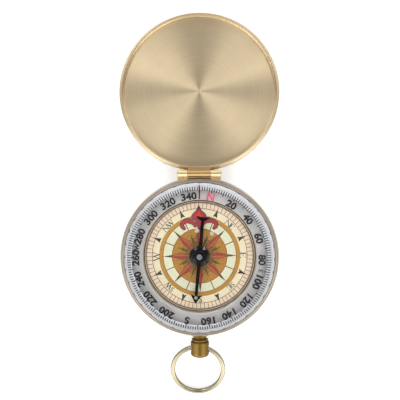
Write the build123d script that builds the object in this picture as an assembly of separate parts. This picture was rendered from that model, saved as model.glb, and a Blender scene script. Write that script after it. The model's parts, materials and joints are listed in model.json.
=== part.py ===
"""Folding pocket compass for geology and field use, with a lidded turned brass case.

The case lies flat with its centre on the Z axis and its underside at Z = 0. The hinge is on the +Y
side and the pendant with its bow ring on the -Y side. The lid is open past flat, so that its far edge
touches the plane that the case stands on, and the bow ring droops to the same plane.
"""
from build123d import *
import math
import os

# ---------------------------------------------------------------- case, millimetres
CASE_RADIUS = 25.0  # widest radius of the case
CASE_WALL = 1.4
CASE_FLOOR = 1.0
SEAM_HEIGHT = 8.2  # height of the rim that the lid closes on
RIM_INSET = 0.4  # how much narrower the case and the lid are at the seam
RIM_SLOPE = 1.2  # height over which the case narrows from its widest radius to the rim
UNDERSIDE_ROUND = 2.6
RIM_ROUND = 0.12
SHOULDER_ROUND = 1.0  # where the wall turns in towards the rim
REGISTER_WIDTH = 0.4  # raised ring on the rim that centres the closed lid
REGISTER_HEIGHT = 0.6

# ---------------------------------------------------------------- inside the case
INSERT_CLEARANCE = 0.05
INSERT_WALL = 1.15
DIAL_RADIUS = 17.95
CARD_THICKNESS = 0.4
CHAPTER_STEP = 0.6  # from the seat down to the silver ring's top face
DIAL_STEP = 2.0  # from the silver ring's top face down to the rose card's
CHAPTER_THICKNESS = 0.4
CHAPTER_BEVEL = 0.25
SEAT_DEPTH = 2.2  # from the seam down to the shoulder that carries the bezel's gasket
SEAT_WIDTH = 0.75
GASKET_THICKNESS = 0.2
INDEX_WIDTH = 0.45
INDEX_THICKNESS = 0.06
BUSH_FLANGE_RADIUS = 2.4
BUSH_FLANGE_THICKNESS = 0.2
BUSH_SHANK_RADIUS = 1.2
BUSH_BOSS_RADIUS = 0.95
BUSH_BOSS_HEIGHT = 0.8
PIVOT_RADIUS = 0.45
PIVOT_TIP_LENGTH = 0.9

# ---------------------------------------------------------------- turning bezel with its lens
BEZEL_CLEARANCE = 0.2  # radial gap between the bezel and the case's bore
BEZEL_FLOAT = 0.05  # gap between the bezel's skirt and its gasket
LENS_DEPTH = 0.7  # from the seam down to the lens's underside
LENS_THICKNESS = 1.9
SKIRT_WALL = 0.45
BEZEL_TOP_BEVEL = 0.45
NOTCH_COUNT = 36
NOTCH_RADIUS = 0.75
NOTCH_DEPTH = 0.32
NOTCH_START = 0.25  # height of the notches' lower ends above the seam
SCALE_INNER_RADIUS = 18.3
SCALE_THICKNESS = 0.06
LUME_RADIUS = 0.75
LUME_PITCH_RADIUS = 8.5
LUME_HALF_ANGLE = 16.5
SPRING_WIRE_RADIUS = 0.2
SPRING_FIT = 0.05  # round the wire in the case's groove
SPRING_PLAY = 0.1  # round the wire in the bezel's groove
SPRING_DEPTH = 1.25  # from the seam down to the wire
SPRING_GAP_ANGLE = 12.0
BEZEL_TURN = -11.0  # the scale's zero stands this far from the index mark

# ---------------------------------------------------------------- magnetic needle
NEEDLE_TURN = -5.2
BLADE_LIFT = 1.6  # from the rose card up to the blade
BLADE_THICKNESS = 0.25
NORTH_LENGTH = 12.9
SOUTH_LENGTH = 15.1
BLADE_WIDTH_HUB = 1.25
BLADE_WIDTH_END = 0.95
CROSSBAR_WIDTH = 4.4
CROSSBAR_DEPTH = 1.2
ARROW_LENGTH = 2.9
ARROW_WIDTH = 3.6
HUB_RADIUS = 3.25
HUB_TOP_RADIUS = 2.35
HUB_THICKNESS = 0.5
HUB_EDGE = 0.1  # upright part of the hub's coned rim
SLEEVE_RADIUS = 1.3
JEWEL_RADIUS = 0.9
CAP_RADIUS = 2.15
CAP_ROUND = 0.6
CAP_HEIGHT = 1.35
SLEEVE_HEIGHT = 0.81
PIVOT_TIP_LIFT = 0.65  # from the blade's top face up to the pivot's point
JEWEL_CLEARANCE = 0.05
NEEDLE_DOT_RADIUS = 0.5
NEEDLE_DOT_THICKNESS = 0.08

# ---------------------------------------------------------------- lid
LID_OVERHANG = 0.3  # how much wider the lid is than the case
LID_LIP_GAP = 0.1  # gap between the closed lid's lip and the case's rim
LID_LENS_GAP = 0.4  # between the lens and the closed lid
RECESS_ROUND = 0.35
LID_FLOOR = 1.9
LID_EDGE_ROUND = 1.2
LID_FLARE_HEIGHT = 1.3
LIP_ROUND = 0.15
LID_REGISTER_CLEARANCE = 0.28

# ---------------------------------------------------------------- hinge
HINGE_GAP = 0.25  # between the case's widest radius and the knuckles
KNUCKLE_RADIUS = 1.05
LID_KNUCKLE_LENGTH = 7.1
CASE_KNUCKLE_LENGTH = 3.0
KNUCKLE_GAP = 0.12
PIN_RADIUS = 0.5
PIN_CLEARANCE = 0.04
PIN_HEAD = 0.25
LEAF_NECK_LENGTH = 6.3  # width of the lid's leaf between the knuckle and the lid
BRACKET_DROP = 3.6  # how far the case's bracket reaches below the hinge axis

# ---------------------------------------------------------------- pendant and bow ring
PENDANT_HEIGHT = 4.6
FLANGE_RADIUS = 2.9
FLANGE_THICKNESS = 0.55
NECK_RADIUS = 2.05
NECK_LENGTH = 0.95
NECK_GROOVE = 0.28
SPIGOT_RADIUS = 1.5
STUD_RADIUS = 1.2
STUD_LENGTH = 1.5
KNOB_RADIUS = 2.93
KNOB_LENGTH = 5.65
KNOB_END_ROUND = 1.1
KNOB_SHOULDER_ROUND = 0.35
KNOB_COLLAR_STEP = 0.33  # how much narrower the collar is than the knob
KNOB_COLLAR_LENGTH = 0.55
KNOB_GROOVE_DEPTH = 0.63  # groove between the collar and the knob, from the knob's radius
KNOB_GROOVE_WIDTH = 0.2
BOW_RADIUS = 8.15  # to the middle of the wire
BOW_WIRE_RADIUS = 0.75
BOW_SHIFT = 0.7  # how far to the left of the knob's axis the ring hangs
BOW_PLAY = 0.12
BOW_BORE_POSITION = 3.1  # from the knob's inner end to the cross bore

# ---------------------------------------------------------------- worked out from the above
RIM_RADIUS = CASE_RADIUS - RIM_INSET
BORE_RADIUS = CASE_RADIUS - CASE_WALL
SEAT_HEIGHT = SEAM_HEIGHT - SEAT_DEPTH
CHAPTER_HEIGHT = SEAT_HEIGHT - CHAPTER_STEP
DIAL_HEIGHT = CHAPTER_HEIGHT - DIAL_STEP
LENS_UNDERSIDE = SEAM_HEIGHT - LENS_DEPTH
SPRING_HEIGHT = SEAM_HEIGHT - SPRING_DEPTH
BLADE_UNDERSIDE = DIAL_HEIGHT + BLADE_LIFT
REGISTER_RADIUS = BORE_RADIUS + REGISTER_WIDTH
INSERT_RADIUS = BORE_RADIUS - INSERT_CLEARANCE
SEAT_RADIUS = INSERT_RADIUS - SEAT_WIDTH
BEZEL_RADIUS = BORE_RADIUS - BEZEL_CLEARANCE
SKIRT_INNER_RADIUS = BEZEL_RADIUS - SKIRT_WALL
SKIRT_BOTTOM = SEAT_HEIGHT + GASKET_THICKNESS + BEZEL_FLOAT
LENS_TOP = LENS_UNDERSIDE + LENS_THICKNESS
SPRING_RADIUS = BORE_RADIUS - BEZEL_CLEARANCE / 4
CARD_UNDERSIDE = DIAL_HEIGHT - CARD_THICKNESS
CHAPTER_UNDERSIDE = CHAPTER_HEIGHT - CHAPTER_THICKNESS
WELL_RADIUS = DIAL_RADIUS + INSERT_CLEARANCE
BLADE_TOP = BLADE_UNDERSIDE + BLADE_THICKNESS
SLEEVE_TOP = BLADE_TOP + SLEEVE_HEIGHT
CAP_TOP = BLADE_TOP + CAP_HEIGHT
PIVOT_TIP_HEIGHT = BLADE_TOP + PIVOT_TIP_LIFT
LIP_HEIGHT = SEAM_HEIGHT + LID_LIP_GAP
RECESS_RADIUS = REGISTER_RADIUS + LID_REGISTER_CLEARANCE
RECESS_CEILING = LENS_TOP + LID_LENS_GAP
LID_TOP = RECESS_CEILING + LID_FLOOR
LID_RADIUS = CASE_RADIUS + LID_OVERHANG
HINGE_Y = CASE_RADIUS + HINGE_GAP + KNUCKLE_RADIUS
HINGE_Z = SEAM_HEIGHT
HINGE_AXIS = Axis((0, HINGE_Y, HINGE_Z), (1, 0, 0))
CASE_KNUCKLE_START = LID_KNUCKLE_LENGTH / 2 + KNUCKLE_GAP
CASE_KNUCKLE_END = CASE_KNUCKLE_START + CASE_KNUCKLE_LENGTH
NECK_START = CASE_RADIUS + FLANGE_THICKNESS
KNOB_START = NECK_START + NECK_LENGTH
BOW_AXIS_Y = -(KNOB_START + BOW_BORE_POSITION)
BOW_SAG = BOW_RADIUS - math.sqrt(BOW_RADIUS**2 - (KNOB_RADIUS + BOW_SHIFT) ** 2)
BOW_BORE_RADIUS = BOW_SAG / 2 + BOW_WIRE_RADIUS + BOW_PLAY
BOW_REACH = 2 * BOW_RADIUS - BOW_SAG / 2  # from the bore's axis to the wire's far side
BOW_DROOP = math.degrees(math.asin((PENDANT_HEIGHT - BOW_WIRE_RADIUS) / BOW_REACH))


def lid_droop():
    """Angle past flat at which the open lid's rounded far edge touches the plane under the case."""
    reach = HINGE_Y + LID_RADIUS - LID_EDGE_ROUND
    rise = LID_TOP - LID_EDGE_ROUND - HINGE_Z
    fall = HINGE_Z - LID_EDGE_ROUND
    return math.degrees(math.asin(fall / math.hypot(reach, rise)) - math.atan2(rise, reach))


LID_OPENING = 180 + lid_droop()


def turned(*corners):
    """Solid of revolution about Z from (radius, height) or (radius, height, rounding) corners."""
    face = make_face(Polyline(*[corner[:2] for corner in corners], close=True))
    for corner in corners:
        if len(corner) == 3:
            vertex = face.vertices().sort_by_distance((corner[0], corner[1], 0))[0]
            face = fillet(vertex, corner[2])
    return revolve(Rot(90, 0, 0) * face, Axis.Z)


def tube(outer, inner, low, high):
    """Plain ring about Z."""
    return turned((inner, low), (outer, low), (outer, high), (inner, high))


def disc(radius, low, high):
    """Plain disc about Z."""
    return Pos(0, 0, low) * Cylinder(radius, high - low, align=(Align.CENTER, Align.CENTER, Align.MIN))


def rod_along_x(radius, start, end, y, z):
    """Round rod parallel to X."""
    rod = Cylinder(radius, end - start, align=(Align.CENTER, Align.CENTER, Align.MIN))
    return Pos(start, y, z) * Rot(0, 90, 0) * rod


def along_minus_y(solid, y):
    """Carries a solid that was turned about Z onto the pendant's axis, its origin at -y, its top outwards."""
    return Pos(0, -y, PENDANT_HEIGHT) * Rot(90, 0, 0) * solid


def block(x_range, y_range, z_range):
    """Box from its ranges along X, Y and Z."""
    size = [high - low for low, high in (x_range, y_range, z_range)]
    middle = [(high + low) / 2 for low, high in (x_range, y_range, z_range)]
    return Pos(*middle) * Box(*size)


# ---------------------------------------------------------------- case
def case_outline():
    """Outer corners of the case from the middle of its underside to its rim."""
    return [
        (0, 0),
        (CASE_RADIUS, 0, UNDERSIDE_ROUND),
        (CASE_RADIUS, SEAM_HEIGHT - RIM_SLOPE, SHOULDER_ROUND),
        (RIM_RADIUS, SEAM_HEIGHT, RIM_ROUND),
    ]


def case_body():
    """Turned cup of the case, before its holes."""
    return turned(
        *case_outline(),
        (REGISTER_RADIUS, SEAM_HEIGHT),
        (REGISTER_RADIUS, SEAM_HEIGHT + REGISTER_HEIGHT, RIM_ROUND),
        (BORE_RADIUS, SEAM_HEIGHT + REGISTER_HEIGHT),
        (BORE_RADIUS, CASE_FLOOR),
        (0, CASE_FLOOR),
    )


def case_shell():
    """Case with the spring's groove and the hole for the pendant's spigot."""
    groove_radius = SPRING_RADIUS + SPRING_WIRE_RADIUS + SPRING_FIT
    groove_half_height = SPRING_WIRE_RADIUS + SPRING_FIT
    groove = tube(groove_radius, BORE_RADIUS - 0.1, SPRING_HEIGHT - groove_half_height,
                  SPRING_HEIGHT + groove_half_height)
    hole = along_minus_y(disc(SPIGOT_RADIUS, -CASE_WALL - 0.1, 1.0), CASE_RADIUS)
    return case_body() - groove - hole


def dial_insert():
    """Moulded tray that carries the card, the silver ring, the gasket and the pivot."""
    rib = BUSH_SHANK_RADIUS + 3.8
    inner_wall = WELL_RADIUS + INSERT_WALL
    outer_wall = INSERT_RADIUS - INSERT_WALL
    return turned(
        (BUSH_SHANK_RADIUS, CASE_FLOOR),
        (rib, CASE_FLOOR),
        (rib, CARD_UNDERSIDE - 1.0),
        (inner_wall, CARD_UNDERSIDE - 1.0),
        (inner_wall, CHAPTER_UNDERSIDE - 1.0),
        (outer_wall, CHAPTER_UNDERSIDE - 1.0),
        (outer_wall, CASE_FLOOR),
        (INSERT_RADIUS, CASE_FLOOR),
        (INSERT_RADIUS, SEAT_HEIGHT),
        (SEAT_RADIUS, SEAT_HEIGHT),
        (SEAT_RADIUS, CHAPTER_UNDERSIDE),
        (WELL_RADIUS, CHAPTER_UNDERSIDE),
        (WELL_RADIUS, CARD_UNDERSIDE),
        (BUSH_SHANK_RADIUS, CARD_UNDERSIDE),
    )


def rose_dial():
    """Printed card with the wind rose."""
    return tube(DIAL_RADIUS, BUSH_SHANK_RADIUS, CARD_UNDERSIDE, DIAL_HEIGHT)


def chapter_ring():
    """Flat silver ring under the degree scale, bevelled at its inner edge."""
    return turned(
        (WELL_RADIUS, CHAPTER_UNDERSIDE),
        (SEAT_RADIUS - INSERT_CLEARANCE, CHAPTER_UNDERSIDE),
        (SEAT_RADIUS - INSERT_CLEARANCE, CHAPTER_HEIGHT),
        (WELL_RADIUS + CHAPTER_BEVEL, CHAPTER_HEIGHT),
        (WELL_RADIUS, CHAPTER_HEIGHT - CHAPTER_BEVEL),
    )


def index_mark():
    """Painted line at 12 o'clock that bearings are read against."""
    reach = (WELL_RADIUS + CHAPTER_BEVEL, SEAT_RADIUS - 0.05)
    half = INDEX_WIDTH / 2
    return block((-half, half), reach, (CHAPTER_HEIGHT, CHAPTER_HEIGHT + INDEX_THICKNESS))


def pivot_bush():
    """Flanged bush that fixes the card to the tray and holds the pivot pin."""
    flange_top = DIAL_HEIGHT + BUSH_FLANGE_THICKNESS
    return turned(
        (PIVOT_RADIUS, CASE_FLOOR),
        (BUSH_SHANK_RADIUS, CASE_FLOOR),
        (BUSH_SHANK_RADIUS, DIAL_HEIGHT),
        (BUSH_FLANGE_RADIUS, DIAL_HEIGHT),
        (BUSH_FLANGE_RADIUS, flange_top, 0.08),
        (BUSH_BOSS_RADIUS, flange_top),
        (BUSH_BOSS_RADIUS, flange_top + BUSH_BOSS_HEIGHT, 0.15),
        (PIVOT_RADIUS, flange_top + BUSH_BOSS_HEIGHT),
    )


def pivot_pin():
    """Hardened pin whose point carries the needle."""
    return turned(
        (0, CASE_FLOOR),
        (PIVOT_RADIUS, CASE_FLOOR),
        (PIVOT_RADIUS, PIVOT_TIP_HEIGHT - PIVOT_TIP_LENGTH),
        (0, PIVOT_TIP_HEIGHT),
    )


def bezel_gasket():
    """Flat ring that the bezel turns on."""
    return tube(BEZEL_RADIUS, SKIRT_INNER_RADIUS, SEAT_HEIGHT, SEAT_HEIGHT + GASKET_THICKNESS)


def bezel_spring():
    """Split wire ring in the case's groove that holds the bezel in and drags on it lightly."""
    wire = Pos(0, 0, SPRING_HEIGHT) * Torus(SPRING_RADIUS, SPRING_WIRE_RADIUS)
    gap_width = 2 * BORE_RADIUS * math.sin(math.radians(SPRING_GAP_ANGLE / 2))
    gap = block((BORE_RADIUS - 2, BORE_RADIUS + 2), (-gap_width / 2, gap_width / 2),
                (SPRING_HEIGHT - 1, SPRING_HEIGHT + 1))
    return wire - gap


# ---------------------------------------------------------------- hinge
def hinge_bracket():
    """Case's half of the hinge: a foot on the case wall with a knuckle at each end."""
    stop_y = HINGE_Y - (LID_TOP - HINGE_Z) * math.sin(math.radians(lid_droop())) - 0.06
    foot_top = HINGE_Z - KNUCKLE_RADIUS - 0.2
    foot = block((-CASE_KNUCKLE_END, CASE_KNUCKLE_END), (RIM_RADIUS - 3, stop_y),
                 (HINGE_Z - BRACKET_DROP, foot_top))
    lower_edge = foot.edges().filter_by(Axis.X).sort_by(Axis.Z)[:2].sort_by(Axis.Y)[-1]
    foot = chamfer(lower_edge, 0.8)
    bracket = foot
    for side in (-1, 1):
        start, end = sorted((side * CASE_KNUCKLE_START, side * CASE_KNUCKLE_END))
        knuckle = rod_along_x(KNUCKLE_RADIUS, start, end, HINGE_Y, HINGE_Z)
        ear = block((start, end), (RIM_RADIUS - 1, HINGE_Y), (foot_top - 0.5, HINGE_Z))
        bracket = bracket + knuckle + ear
    pin_hole = rod_along_x(PIN_RADIUS, -CASE_KNUCKLE_END - 1, CASE_KNUCKLE_END + 1, HINGE_Y, HINGE_Z)
    room_for_lid_knuckle = rod_along_x(KNUCKLE_RADIUS + 0.15, -CASE_KNUCKLE_START, CASE_KNUCKLE_START,
                                       HINGE_Y, HINGE_Z)
    case_solid = turned(*case_outline(), (REGISTER_RADIUS, SEAM_HEIGHT), (0, SEAM_HEIGHT))
    return bracket - case_solid - pin_hole - room_for_lid_knuckle


def hinge_pin():
    """Pin through all three knuckles, with a slightly domed head at each end."""
    pin = rod_along_x(PIN_RADIUS, -CASE_KNUCKLE_END, CASE_KNUCKLE_END, HINGE_Y, HINGE_Z)
    for side in (-1, 1):
        start, end = sorted((side * CASE_KNUCKLE_END, side * (CASE_KNUCKLE_END + PIN_HEAD)))
        head = rod_along_x(PIN_RADIUS + 0.2, start, end, HINGE_Y, HINGE_Z)
        outer_edge = head.edges().filter_by(GeomType.CIRCLE).sort_by(Axis.X)[-1 if side > 0 else 0]
        pin = pin + fillet(outer_edge, PIN_HEAD * 0.8)
    return pin


# ---------------------------------------------------------------- pendant
def pendant_stub():
    """Flanged stub soldered through the case wall, with the stud that the knob screws on."""
    stub = turned(
        (0, -CASE_WALL),
        (SPIGOT_RADIUS, -CASE_WALL),
        (SPIGOT_RADIUS, -0.7),
        (FLANGE_RADIUS, -0.7),
        (FLANGE_RADIUS, FLANGE_THICKNESS * 0.45),
        (NECK_RADIUS, FLANGE_THICKNESS),
        (NECK_RADIUS, FLANGE_THICKNESS + NECK_LENGTH),
        (STUD_RADIUS, FLANGE_THICKNESS + NECK_LENGTH),
        (STUD_RADIUS, FLANGE_THICKNESS + NECK_LENGTH + STUD_LENGTH),
        (0, FLANGE_THICKNESS + NECK_LENGTH + STUD_LENGTH),
    )
    groove_middle = FLANGE_THICKNESS + NECK_LENGTH / 2
    groove = Pos(0, 0, groove_middle) * Torus(NECK_RADIUS + 0.05, NECK_GROOVE)
    placed = along_minus_y(stub - groove, CASE_RADIUS)
    spigot = along_minus_y(disc(SPIGOT_RADIUS, -CASE_WALL, 0.5), CASE_RADIUS)
    insert_room = disc(BORE_RADIUS, 0, SEAM_HEIGHT)
    return (placed - case_body()) + (spigot - insert_room)


def pendant_knob():
    """Round knob on the stub's stud, with the cross bore for the bow ring."""
    groove_end = KNOB_COLLAR_LENGTH + KNOB_GROOVE_WIDTH
    collar_radius = KNOB_RADIUS - KNOB_COLLAR_STEP
    groove_radius = KNOB_RADIUS - KNOB_GROOVE_DEPTH
    knob = turned(
        (0, 0),
        (collar_radius, 0, 0.12),
        (collar_radius, KNOB_COLLAR_LENGTH, 0.12),
        (groove_radius, KNOB_COLLAR_LENGTH),
        (groove_radius, groove_end),
        (KNOB_RADIUS, groove_end, KNOB_SHOULDER_ROUND),
        (KNOB_RADIUS, KNOB_LENGTH, KNOB_END_ROUND),
        (0, KNOB_LENGTH),
    )
    stud_hole = disc(STUD_RADIUS, 0, STUD_LENGTH)
    placed = along_minus_y(knob - stud_hole, KNOB_START)
    cross_bore = rod_along_x(BOW_BORE_RADIUS, -KNOB_RADIUS - 1, KNOB_RADIUS + 1, BOW_AXIS_Y, PENDANT_HEIGHT)
    return placed - cross_bore


def bow_ring():
    """Wire ring through the knob, drooping until it touches the plane under the case."""
    ring_centre_y = BOW_AXIS_Y + BOW_SAG / 2 - BOW_RADIUS
    ring = Pos(-BOW_SHIFT, ring_centre_y, PENDANT_HEIGHT) * Torus(BOW_RADIUS, BOW_WIRE_RADIUS)
    return ring.rotate(Axis((0, BOW_AXIS_Y, PENDANT_HEIGHT), (1, 0, 0)), BOW_DROOP)


# ---------------------------------------------------------------- lid, modelled closed and then opened
def opened(solid):
    """Turns a piece of the closed lid about the hinge to where it lies open."""
    return solid.rotate(HINGE_AXIS, -LID_OPENING)


def lid_outline():
    """Outer corners of the closed lid from its lip to the middle of its flat outer face."""
    return [
        (RIM_RADIUS, LIP_HEIGHT, LIP_ROUND),
        (LID_RADIUS, LIP_HEIGHT + LID_FLARE_HEIGHT, LID_EDGE_ROUND),
        (LID_RADIUS, LID_TOP, LID_EDGE_ROUND),
        (0, LID_TOP),
    ]


def lid_shell():
    """Turned dish of the lid, where it lies open."""
    dish = turned(
        (0, RECESS_CEILING),
        (RECESS_RADIUS, RECESS_CEILING, RECESS_ROUND),
        (RECESS_RADIUS, LIP_HEIGHT),
        *lid_outline(),
    )
    return opened(dish)


def lid_hinge_leaf():
    """Lid's half of the hinge: a waisted leaf from the lid's wall to the middle knuckle."""
    half_knuckle = LID_KNUCKLE_LENGTH / 2
    half_neck = LEAF_NECK_LENGTH / 2
    waist_round = half_knuckle - half_neck
    low, high = LIP_HEIGHT + 0.15, LID_TOP - 0.7
    leaf = block((-half_knuckle, half_knuckle), (LID_RADIUS - 1.6, HINGE_Y), (low, high))
    back_edge = leaf.edges().filter_by(Axis.X).sort_by(Axis.Z)[-2:].sort_by(Axis.Y)[-1]
    leaf = chamfer(back_edge, 0.5)
    shank = block((-half_neck, half_neck), (HINGE_Y - 0.4, HINGE_Y), (HINGE_Z, high - 0.5))
    knuckle = rod_along_x(KNUCKLE_RADIUS, -half_knuckle, half_knuckle, HINGE_Y, HINGE_Z)
    leaf = leaf + shank + knuckle
    for side in (-1, 1):
        waist = Cylinder(waist_round, 2 * (high - low), align=(Align.CENTER, Align.CENTER, Align.MIN))
        leaf = leaf - Pos(side * half_knuckle, LID_RADIUS + waist_round, low - 0.1) * waist
    pin_hole = rod_along_x(PIN_RADIUS + PIN_CLEARANCE, -half_knuckle - 1, half_knuckle + 1, HINGE_Y, HINGE_Z)
    lid_solid = turned((0, LIP_HEIGHT), *lid_outline())
    return opened(leaf - pin_hole - lid_solid)


# ---------------------------------------------------------------- bezel
def bezel_lens():
    """Clear lens and notched bezel in one piece, with a grooved skirt in the case's bore."""
    body = turned(
        (0, LENS_UNDERSIDE),
        (SKIRT_INNER_RADIUS, LENS_UNDERSIDE),
        (SKIRT_INNER_RADIUS, SKIRT_BOTTOM),
        (BEZEL_RADIUS, SKIRT_BOTTOM),
        (BEZEL_RADIUS, LENS_TOP - BEZEL_TOP_BEVEL),
        (BEZEL_RADIUS - BEZEL_TOP_BEVEL, LENS_TOP),
        (0, LENS_TOP),
    )
    groove_half_height = SPRING_WIRE_RADIUS + SPRING_PLAY
    groove = tube(BEZEL_RADIUS + 0.1, SPRING_RADIUS - SPRING_WIRE_RADIUS - SPRING_PLAY,
                  SPRING_HEIGHT - groove_half_height, SPRING_HEIGHT + groove_half_height)
    notch_low = SEAM_HEIGHT + REGISTER_HEIGHT + 0.02
    notch = disc(NOTCH_RADIUS, notch_low - NOTCH_START, LENS_TOP + 0.1)
    notch_centre = BEZEL_RADIUS + NOTCH_RADIUS - NOTCH_DEPTH
    body = body - groove
    for step in range(NOTCH_COUNT):
        body = body - Rot(0, 0, step * 360 / NOTCH_COUNT) * Pos(notch_centre, 0, 0) * notch
    return Rot(0, 0, BEZEL_TURN) * body


def degree_scale():
    """Film on the lens's underside that carries the printed degrees."""
    film = tube(SKIRT_INNER_RADIUS - 0.02, SCALE_INNER_RADIUS, LENS_UNDERSIDE - SCALE_THICKNESS, LENS_UNDERSIDE)
    return film


def lume_dots():
    """Two luminous dots on the lens's underside, either side of the scale's zero."""
    dots = []
    for side in (-1, 1):
        dot = disc(LUME_RADIUS, LENS_UNDERSIDE - SCALE_THICKNESS, LENS_UNDERSIDE)
        dots.append(Rot(0, 0, BEZEL_TURN + side * LUME_HALF_ANGLE) * Pos(0, LUME_PITCH_RADIUS, 0) * dot)
    return Compound(children=dots)


# ---------------------------------------------------------------- needle
def needle_blade():
    """Flat magnetised needle: a crescent crossbar at its north end and an arrow at its south end."""
    half_hub = BLADE_WIDTH_HUB / 2
    half_end = BLADE_WIDTH_END / 2
    arm_north = NORTH_LENGTH - CROSSBAR_DEPTH * 0.7
    arm_south = -(SOUTH_LENGTH - ARROW_LENGTH * 0.75)
    bar = make_face(Polyline(
        (-half_end, arm_north),
        (-half_hub, 0),
        (-half_end, arm_south),
        (half_end, arm_south),
        (half_hub, 0),
        (half_end, arm_north),
        close=True,
    ))
    left_horn = (-CROSSBAR_WIDTH / 2, NORTH_LENGTH)
    right_horn = (CROSSBAR_WIDTH / 2, NORTH_LENGTH)
    upper_arc = ThreePointArc(left_horn, (0, NORTH_LENGTH - CROSSBAR_DEPTH * 0.3), right_horn)
    lower_arc = ThreePointArc(right_horn, (0, NORTH_LENGTH - CROSSBAR_DEPTH * 1.25), left_horn)
    crossbar = make_face([upper_arc, lower_arc])
    half_arrow = ARROW_WIDTH / 2
    arrow_base = -(SOUTH_LENGTH - ARROW_LENGTH)
    arrow = make_face(Polyline(
        (0, -SOUTH_LENGTH),
        (-half_arrow, arrow_base),
        (0, arrow_base - ARROW_LENGTH * 0.22),
        (half_arrow, arrow_base),
        close=True,
    ))
    eye = Circle(SLEEVE_RADIUS + 0.75)
    outline = bar + crossbar + arrow + eye - Circle(SLEEVE_RADIUS)
    blade = extrude(outline, BLADE_THICKNESS)
    return Rot(0, 0, NEEDLE_TURN) * Pos(0, 0, BLADE_UNDERSIDE) * blade


def needle_hub():
    """Coned disc under the blade with the sleeve that goes up through it."""
    return turned(
        (JEWEL_RADIUS, BLADE_UNDERSIDE - HUB_THICKNESS),
        (HUB_RADIUS, BLADE_UNDERSIDE - HUB_THICKNESS),
        (HUB_RADIUS, BLADE_UNDERSIDE - HUB_THICKNESS + HUB_EDGE),
        (HUB_TOP_RADIUS, BLADE_UNDERSIDE),
        (SLEEVE_RADIUS, BLADE_UNDERSIDE),
        (SLEEVE_RADIUS, SLEEVE_TOP),
        (JEWEL_RADIUS, SLEEVE_TOP),
    )


def needle_cap():
    """Round cap pressed over the sleeve, which clamps the blade."""
    return turned(
        (JEWEL_RADIUS, SLEEVE_TOP),
        (SLEEVE_RADIUS, SLEEVE_TOP),
        (SLEEVE_RADIUS, BLADE_TOP),
        (CAP_RADIUS, BLADE_TOP),
        (CAP_RADIUS, CAP_TOP, CAP_ROUND),
        (JEWEL_RADIUS, CAP_TOP),
    )


def needle_jewel():
    """Bearing stone in the hub, hollowed underneath where it sits on the pivot's point."""
    cup_apex = PIVOT_TIP_HEIGHT + JEWEL_CLEARANCE
    cup_foot = cup_apex - 0.55
    return turned(
        (0, cup_apex),
        (JEWEL_RADIUS - 0.15, cup_foot),
        (JEWEL_RADIUS, cup_foot),
        (JEWEL_RADIUS, CAP_TOP + 0.04),
        (0, CAP_TOP + 0.1),
    )


def needle_dot():
    """Luminous dot on the arrow."""
    dot = disc(NEEDLE_DOT_RADIUS, BLADE_TOP, BLADE_TOP + NEEDLE_DOT_THICKNESS)
    return Rot(0, 0, NEEDLE_TURN) * Pos(0, -(SOUTH_LENGTH - ARROW_LENGTH * 0.66), 0) * dot


PARTS = {
    "case_shell": case_shell,
    "dial_insert": dial_insert,
    "rose_dial": rose_dial,
    "chapter_ring": chapter_ring,
    "index_mark": index_mark,
    "pivot_bush": pivot_bush,
    "pivot_pin": pivot_pin,
    "bezel_gasket": bezel_gasket,
    "bezel_spring": bezel_spring,
    "hinge_bracket": hinge_bracket,
    "hinge_pin": hinge_pin,
    "pendant_stub": pendant_stub,
    "pendant_knob": pendant_knob,
    "bow_ring": bow_ring,
    "lid_shell": lid_shell,
    "lid_hinge_leaf": lid_hinge_leaf,
    "bezel_lens": bezel_lens,
    "degree_scale": degree_scale,
    "lume_dots": lume_dots,
    "needle_blade": needle_blade,
    "needle_hub": needle_hub,
    "needle_cap": needle_cap,
    "needle_jewel": needle_jewel,
    "needle_dot": needle_dot,
}

os.makedirs("parts", exist_ok=True)
for name, make in PARTS.items():
    export_step(make(), f"parts/{name}.step")
print(f"lid opening {LID_OPENING:.3f} degrees, bow droop {BOW_DROOP:.3f} degrees")
print(f"hinge axis y {HINGE_Y:.3f} z {HINGE_Z:.3f}, bow axis y {BOW_AXIS_Y:.3f} z {PENDANT_HEIGHT:.3f}")
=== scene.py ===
"""Looks for a folding pocket compass in turned brass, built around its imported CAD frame."""
import json
import math

import bmesh
import bpy
from mathutils import Euler, Matrix, Vector


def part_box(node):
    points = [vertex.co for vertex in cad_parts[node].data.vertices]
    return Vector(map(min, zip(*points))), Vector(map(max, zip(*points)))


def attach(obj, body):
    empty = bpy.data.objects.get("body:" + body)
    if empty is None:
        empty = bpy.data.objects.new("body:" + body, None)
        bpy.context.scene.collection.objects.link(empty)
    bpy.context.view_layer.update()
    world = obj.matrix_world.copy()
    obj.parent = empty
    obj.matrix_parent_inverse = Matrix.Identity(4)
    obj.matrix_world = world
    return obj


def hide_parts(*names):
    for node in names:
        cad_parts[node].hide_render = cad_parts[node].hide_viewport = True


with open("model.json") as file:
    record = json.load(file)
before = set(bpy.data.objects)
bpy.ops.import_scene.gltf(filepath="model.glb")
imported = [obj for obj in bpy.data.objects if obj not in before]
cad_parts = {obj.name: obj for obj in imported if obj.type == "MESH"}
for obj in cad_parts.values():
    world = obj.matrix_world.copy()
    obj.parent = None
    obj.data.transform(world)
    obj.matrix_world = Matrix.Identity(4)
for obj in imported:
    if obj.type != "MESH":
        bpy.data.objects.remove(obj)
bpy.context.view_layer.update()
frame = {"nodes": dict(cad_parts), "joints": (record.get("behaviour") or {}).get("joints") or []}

MM = 0.001
JOINTS = {joint["name"]: joint for joint in frame["joints"]}
HINGE = Vector(JOINTS["lid_hinge"]["pos_m"])
LID_OPENING = math.radians(JOINTS["lid_hinge"]["range_deg"][1])

# ---------------------------------------------------------------- the print's thickness, millimetres
PRINT_LIFT = 0.02  # from one layer of print to the next
PRINT_THICKNESS = 0.02

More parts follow.
